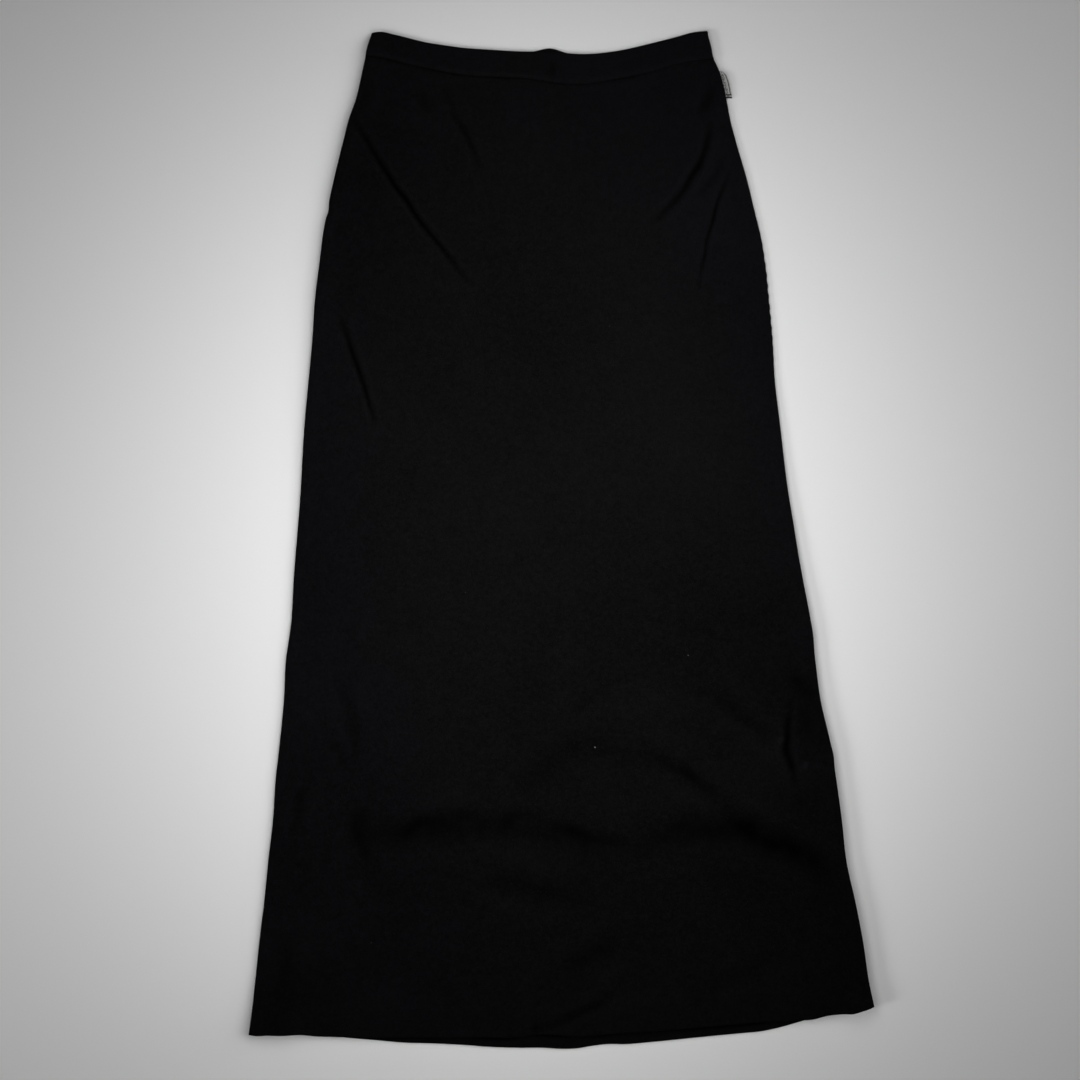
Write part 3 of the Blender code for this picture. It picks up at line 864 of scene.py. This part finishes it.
class Value:
    """A node's output, which adds, subtracts and multiplies as a number does."""

    def __init__(self, board, socket):
        self.board = board
        self.socket = socket

    def maths(self, operation, first, second):
        return self.board.node("ShaderNodeMath", {"operation": operation}, {0: first, 1: second})

    def __add__(self, other):
        return self.maths("ADD", self, other)

    def __sub__(self, other):
        return self.maths("SUBTRACT", self, other)

    def __rsub__(self, other):
        return self.maths("SUBTRACT", other, self)

    def __mul__(self, other):
        return self.maths("MULTIPLY", self, other)

    __radd__ = __add__
    __rmul__ = __mul__

    def root(self):
        return self.maths("SQRT", self, 0.0)

    def most(self, other):
        return self.maths("MAXIMUM", self, other)

    def above(self, limit, softness):
        """0 below the limit and 1 above it, eased over the softness."""
        settings = {"interpolation_type": "SMOOTHSTEP"}
        inputs = {"Value": self, "From Min": limit - softness, "From Max": limit + softness}
        return self.board.node("ShaderNodeMapRange", settings, inputs)

    def within(self, limits, softness):
        """1 between the two limits and 0 outside them, eased over the softness."""
        start, end = limits
        return self.above(start, softness) - self.above(end, softness)


class Board:
    """One material's nodes, round its Principled shader."""

    MIX_FACTOR, MIX_FIRST, MIX_SECOND, MIX_RESULT = 0, 6, 7, 2

    def __init__(self, name):
        self.material = bpy.data.materials.new(name)
        self.material.use_nodes = True
        self.tree = self.material.node_tree
        self.shader = self.tree.nodes["Principled BSDF"]

    def feed(self, node, inputs):
        for key, value in inputs.items():
            if isinstance(value, Value):
                self.tree.links.new(value.socket, node.inputs[key])
            else:
                node.inputs[key].default_value = value

    def node(self, kind, settings, inputs, output=0):
        made = self.tree.nodes.new(kind)
        for name, value in settings.items():
            setattr(made, name, value)
        self.feed(made, inputs)
        return Value(self, made.outputs[output])

    def places(self):
        return self.node("ShaderNodeTexCoord", {}, {}, "Object")

    def shares(self):
        """The shares across and down the piece, as two numbers."""
        cut = self.node("ShaderNodeUVMap", {"uv_map": "cut"}, {})
        return (self.node("ShaderNodeSeparateXYZ", {}, {0: cut}, part) for part in ("X", "Y"))

    def relief_painted_light_and_shade(self):
        """The relief kept with the mesh: painted shade below 0 in a crease, painted light above 0 on a
        ridge.
        """
        return self.node("ShaderNodeAttribute", {"attribute_name": "relief"}, {}, "Fac")

    def noise(self, places, pattern):
        """Noise from 0 to 1 in the pattern's patches, drawn out the way in which its scale is low."""
        drawn = {"Vector": places, "Scale": (pattern.across, pattern.down, 1.0)}
        inputs = {
            "Vector": self.node("ShaderNodeMapping", {}, drawn),
            "Scale": 1 / (pattern.size * MM),
            "Detail": pattern.detail,
            "Roughness": pattern.roughness,
        }
        return self.node("ShaderNodeTexNoise", {}, inputs, "Fac")

    def grains(self, places, size):
        """Rounded grains of about this size, in millimetres: 0 at their middles."""
        inputs = {"Vector": places, "Scale": 1 / (size * MM), "Smoothness": 0.6}
        return self.node("ShaderNodeTexVoronoi", {"feature": "SMOOTH_F1"}, inputs, "Distance")

    def blend(self, share, first, second, kind="MIX"):
        settings = {"data_type": "RGBA", "blend_type": kind}
        inputs = {self.MIX_FACTOR: share, self.MIX_FIRST: first, self.MIX_SECOND: second}
        return self.node("ShaderNodeMix", settings, inputs, self.MIX_RESULT)

    def outer(self, places, wander):
        """1 near the sides, the waist and the hem, 0 within the neutral oval: where side light is
        painted.
        """
        x, y = (self.node("ShaderNodeSeparateXYZ", {}, {0: places}, axis) for axis in ("X", "Y"))
        across = x + y * NEUTRAL_LEAN - NEUTRAL_X * MM
        along = (y - NEUTRAL_Y * MM) * (NEUTRAL_ACROSS / NEUTRAL_ALONG)
        gap = (across * across + along * along).root() + (wander - 0.5) * (NEUTRAL_WANDER * MM)
        return gap.above(NEUTRAL_ACROSS * MM, NEUTRAL_FADE * MM)

    def vectors(self, operation, first, second, output):
        settings = {"operation": operation}
        return self.node("ShaderNodeVectorMath", settings, {0: first, 1: second}, output)

    def spots(self, places, spots, middle):
        """A mask of soft round spots, which are at half their strength at this share of their reach."""
        flat = self.vectors("MULTIPLY", places, (1.0, 1.0, 0.0), "Vector")
        found = 0.0
        for spot in spots:
            gap = self.vectors("DISTANCE", flat, (spot.x * MM, spot.y * MM, 0.0), "Value")
            reach = spot.reach * MM
            found = found + (1 - gap.above(reach * middle, reach * (1 - middle))) * spot.strength
        return found

    def relief(self, height, strength, depth):
        """A normal from a height that runs from 0 to 1, over this depth in millimetres."""
        inputs = {"Height": height, "Strength": strength, "Distance": depth * MM}
        return self.node("ShaderNodeBump", {}, inputs, "Normal")


def cloth_material(name, colours):
    """Matte black crepe knit: a fine pebbled face, a little lint, painted shade in creases and painted
    light.
    """
    board = Board(name)
    places = board.places()
    grain = board.grains(places, GRAIN_SIZE)
    rows, mottle = board.noise(places, ROWS), board.noise(places, MOTTLE)
    cloudy, wisps = board.noise(places, CLOUDS), board.noise(places, WISPS)
    rubbed = board.spots(places, RUBS, SPOT_MIDDLE) * (mottle * RUB_CONTRAST - RUB_START)
    relief = board.relief_painted_light_and_shade()
    # The relief's raised part is painted light, and its sunk part painted shade.
    raised, painted_shade = relief.most(0.0), (relief * -1.0).most(0.0)
    # Broad spots of painted light, less broad spots of painted shade.
    broad = board.spots(places, PAINTED_LIGHT_SPOTS, SPOT_MIDDLE) - board.spots(places, PAINTED_SHADE_SPOTS, SPOT_MIDDLE)
    outer = board.outer(places, cloudy)
    wear_and_painted_light = cloudy * CLOUDS_PALE + broad + outer * OUTER_LIGHT_PALES + wisps * WISPS_PALE
    wear_and_painted_light = wear_and_painted_light + mottle * MOTTLE_PALES - grain * GRAIN_DARKENS + rubbed
    # Painted light on the relief's raised places.
    wear_and_painted_light = wear_and_painted_light + raised * PAINTED_LIGHT_PALES - PALE_FROM
    tone = board.blend(wear_and_painted_light, tuple(colours.cloth), tuple(colours.cloth_worn_and_lit))
    # Painted cool side light outside the neutral oval.
    tone = board.blend(outer, tone, tuple(colours.painted_cool_light), "MULTIPLY")
    # Painted shade in the creases and the relief's other sunk places.
    tone = board.blend(painted_shade * PAINTED_SHADE_DARKENS, tone, tuple(colours.painted_shade_black))
    fluff = board.noise(places, LINT).above(LINT_FROM, LINT_SOFTNESS)
    lint = board.spots(places, SPECKS, SPECK_MIDDLE) + fluff * LINT_PALES
    height = (1 - grain) * GRAIN_HEIGHT + rows * ROWS_HEIGHT + mottle * MOTTLE_HEIGHT
    board.feed(board.shader, {
        "Base Color": board.blend(lint, tone, tuple(colours.nap)),
        "Roughness": 0.66 + cloudy * 0.1 + painted_shade * 0.2,
        "Normal": board.relief(height, strength=0.45, depth=0.4),
        "Specular IOR Level": 0.012,
        "Sheen Weight": 0.002,
        "Sheen Roughness": 0.45,
    })
    return board.material


def satin_material(colours):
    """Grey woven satin: darker threads in short rows, and plain dark lines along its edges."""
    board = Board("side_label_satin")
    across, down = board.shares()
    places = board.places()
    weave, threads = board.noise(places, WEAVE), board.noise(places, THREADS)
    by_seam = 1 - across.above(SEAM_PART, SEAM_PART_SOFTNESS)
    dark = threads.above(THREADS_FROM, THREADS_SOFTNESS) * THREADS_DARKEN + GROUND_DARKENS
    dark = dark * (EDGE_PART_DARKENS + by_seam * SEAM_PART_DARKENS)
    foot = down.within(UPPER_LINE, LINE_SOFTNESS) + down.within(LOWER_LINE, LINE_SOFTNESS)
    edge = across.within(EDGE_LINE, LINE_SOFTNESS) * (1 - down.above(UPPER_LINE[1], LINE_SOFTNESS))
    line = foot.most(edge)
    tone = board.blend(dark, tuple(colours.label), tuple(colours.label_dark))
    board.feed(board.shader, {
        "Base Color": board.blend(line, tone, tuple(colours.label_line)),
        "Roughness": 0.4 + weave * 0.25,
        "Normal": board.relief(weave, strength=0.5, depth=0.12),
        "Specular IOR Level": 0.2,
        "Sheen Weight": 0.05,
    })
    return board.material


def floor_material(colours):
    """A plain pale floor."""
    board = Board("floor_paint")
    places = board.places()
    cloudy = board.noise(places, FLOOR_CLOUDS)
    paler = tuple(min(1.0, part * FLOOR_PALER) for part in colours.floor[:3]) + (1.0,)
    board.feed(board.shader, {
        "Base Color": board.blend(cloudy * FLOOR_CLOUDS_PALE, tuple(colours.floor), paler),
        "Roughness": 0.75,
        "Specular IOR Level": 0.25,
    })
    return board.material


class SkirtOperator:
    """What the skirt's operators share."""

    bl_options = {"REGISTER", "UNDO"}

    def settings(self, context):
        return context.scene.skirt_sizes, context.scene.skirt_colours


class SKIRT_OT_front_panel(SkirtOperator, bpy.types.Operator):
    """Front panel: one piece of knit with its long creases, its soft rumples and its turned-up hem"""

    bl_idname = "skirt.front_panel"
    bl_label = "Front Panel"

    def execute(self, context):
        sizes, colours = self.settings(context)
        cloth = cloth_material("front_panel_knit", colours)
        shape = Form(sizes).front_panel
        piece = wall("front_panel_cloth", FRONT_COLUMNS, FRONT_ROWS, shape, FRONT_INNER_STEP, cloth)
        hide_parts("front_panel")
        return {"FINISHED"}


class SKIRT_OT_back_panel(SkirtOperator, bpy.types.Operator):
    """Back panel: the same cut, flat on the floor, its turned-up hem showing below the front's"""

    bl_idname = "skirt.back_panel"
    bl_label = "Back Panel"

    def execute(self, context):
        sizes, colours = self.settings(context)
        cloth = cloth_material("back_panel_knit", colours)
        shape = Form(sizes).back_panel
        piece = wall("back_panel_cloth", BACK_COLUMNS, BACK_ROWS, shape, BACK_INNER_STEP, cloth)
        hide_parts("back_panel")
        return {"FINISHED"}


class SKIRT_OT_waistband(SkirtOperator, bpy.types.Operator):
    """Waistband: a folded band in two halves, which meet at the side seams"""

    bl_idname = "skirt.waistband"
    bl_label = "Waistband"

    def execute(self, context):
        sizes, colours = self.settings(context)
        form = Form(sizes)
        for half, shape, below in (
            ("waistband_back", form.waistband_back, "floor"),
            ("waistband_front", form.waistband_front, "waistband_back_cloth"),
        ):
            cloth = cloth_material(f"{half}_knit", colours)
            piece = wall(f"{half}_cloth", BAND_COLUMNS, BAND_ROWS, shape, BAND_INNER_STEP, cloth)
            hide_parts(half)
        return {"FINISHED"}


class SKIRT_OT_side_label(SkirtOperator, bpy.types.Operator):
    """Side label: a plain satin ribbon folded double and caught in the right side seam"""

    bl_idname = "skirt.side_label"
    bl_label = "Side Label"

    def execute(self, context):
        sizes, colours = self.settings(context)
        satin = satin_material(colours)
        shape = Form(sizes).side_label
        piece = wall("side_label_satin", LABEL_COLUMNS, LABEL_ROWS, shape, LABEL_INNER_STEP, satin)
        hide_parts("side_label")
        return {"FINISHED"}


class SKIRT_OT_stage(SkirtOperator, bpy.types.Operator):
    """Stage: a plain pale floor, soft studio light and a camera straight above the skirt"""

    bl_idname = "skirt.stage"
    bl_label = "Stage"

    def execute(self, context):
        sizes, colours = self.settings(context)
        self.floor(sizes, colours)
        self.long_lamp()
        self.cone_lamp(HIGH_LAMP, HIGH_CONE)
        self.cone_lamp(SOFTBOX, SOFTBOX_CONE)
        self.window()
        self.world(context.scene)
        self.camera(context.scene, sizes)
        return {"FINISHED"}

    def floor(self, sizes, colours):
        bm = bmesh.new()
        half = sizes.floor_width / 2
        bmesh.ops.create_grid(bm, x_segments=FLOOR_STEPS, y_segments=FLOOR_STEPS, size=half)
        mesh = bpy.data.meshes.new("floor")
        bm.to_mesh(mesh)
        bm.free()
        mesh.materials.append(floor_material(colours))
        floor = bpy.data.objects.new("floor", mesh)
        bpy.context.scene.collection.objects.link(floor)

    def light(self, kind, name, energy, place, way):
        """A light of this kind, its back turned to the given way."""
        light = bpy.data.lights.new(name, kind)
        light.energy = energy
        holder = bpy.data.objects.new(name, light)
        holder.location = place
        holder.rotation_euler = way.to_track_quat("Z", "Y").to_euler()
        holder.visible_camera = False
        bpy.context.scene.collection.objects.link(holder)
        return light

    def long_lamp(self):
        """A long oval lamp that faces straight down."""
        place = Vector((LONG_LAMP.x, LONG_LAMP.y, LONG_LAMP.z))
        light = self.light("AREA", LONG_LAMP.name, LONG_LAMP.power, place, Vector((0.0, 0.0, 1.0)))
        light.shape = "ELLIPSE"
        light.size = LONG_LAMP.size
        light.size_y = LONG_LAMP_LENGTH

    def cone_lamp(self, lamp, cone):
        """A round lamp aimed at the middle, its light fading out towards the edge of its cone."""
        place = Vector((lamp.x, lamp.y, lamp.z))
        light = self.light("SPOT", lamp.name, lamp.power, place, place)
        light.shadow_soft_size = lamp.size / 2
        light.spot_size = math.radians(cone)
        light.spot_blend = 1.0

    def window(self):
        """Daylight as broad as a window, low from the right."""
        around, up = math.radians(WINDOW_ROUND), math.radians(WINDOW_UP)
        way = Vector((math.cos(around) * math.cos(up), math.sin(around) * math.cos(up), math.sin(up)))
        light = self.light("SUN", "right_window", WINDOW_STRENGTH, WINDOW_OFF * way, way)
        light.angle = math.radians(WINDOW_SPREAD)

    def world(self, scene):
        world = bpy.data.worlds.new("studio")
        world.use_nodes = True
        background = world.node_tree.nodes["Background"]
        background.inputs["Color"].default_value = WORLD_COLOUR
        background.inputs["Strength"].default_value = WORLD_STRENGTH
        scene.world = world
        scene.view_settings.view_transform = "Standard"

    def camera(self, scene, sizes):
        data = bpy.data.cameras.new("camera")
        data.sensor_width = SENSOR
        data.lens = SENSOR * (sizes.camera_height - VIEW_Z * MM) / sizes.view_width
        camera = bpy.data.objects.new("camera", data)
        camera.location = (VIEW_X * MM, VIEW_Y * MM, sizes.camera_height)
        scene.collection.objects.link(camera)
        scene.camera = camera


OPERATORS = (
    SKIRT_OT_back_panel,
    SKIRT_OT_front_panel,
    SKIRT_OT_waistband,
    SKIRT_OT_side_label,
    SKIRT_OT_stage,
)


class SKIRT_PT_pieces(bpy.types.Panel):
    """The skirt's pieces, sizes and colours."""

    bl_idname = "SKIRT_PT_pieces"
    bl_label = "Maxi Skirt"
    bl_space_type = "VIEW_3D"
    bl_region_type = "UI"
    bl_category = "Skirt"

    def draw(self, context):
        for group in (context.scene.skirt_sizes, context.scene.skirt_colours):
            box = self.layout.box()
            for name in group.__annotations__:
                box.prop(group, name)
        for operator in OPERATORS:
            self.layout.operator(operator.bl_idname)


CLASSES = (SkirtSizes, SkirtColours, *OPERATORS, SKIRT_PT_pieces)


def register():
    for one in CLASSES:
        bpy.utils.register_class(one)
    bpy.types.Scene.skirt_sizes = bpy.props.PointerProperty(type=SkirtSizes)
    bpy.types.Scene.skirt_colours = bpy.props.PointerProperty(type=SkirtColours)


def unregister():
    del bpy.types.Scene.skirt_colours
    del bpy.types.Scene.skirt_sizes
    for one in reversed(CLASSES):
        bpy.utils.unregister_class(one)


def main():
    register()
    bpy.ops.skirt.back_panel()
    bpy.ops.skirt.front_panel()
    bpy.ops.skirt.waistband()
    bpy.ops.skirt.side_label()
    bpy.ops.skirt.stage()


if __name__ == "__main__":
    main()
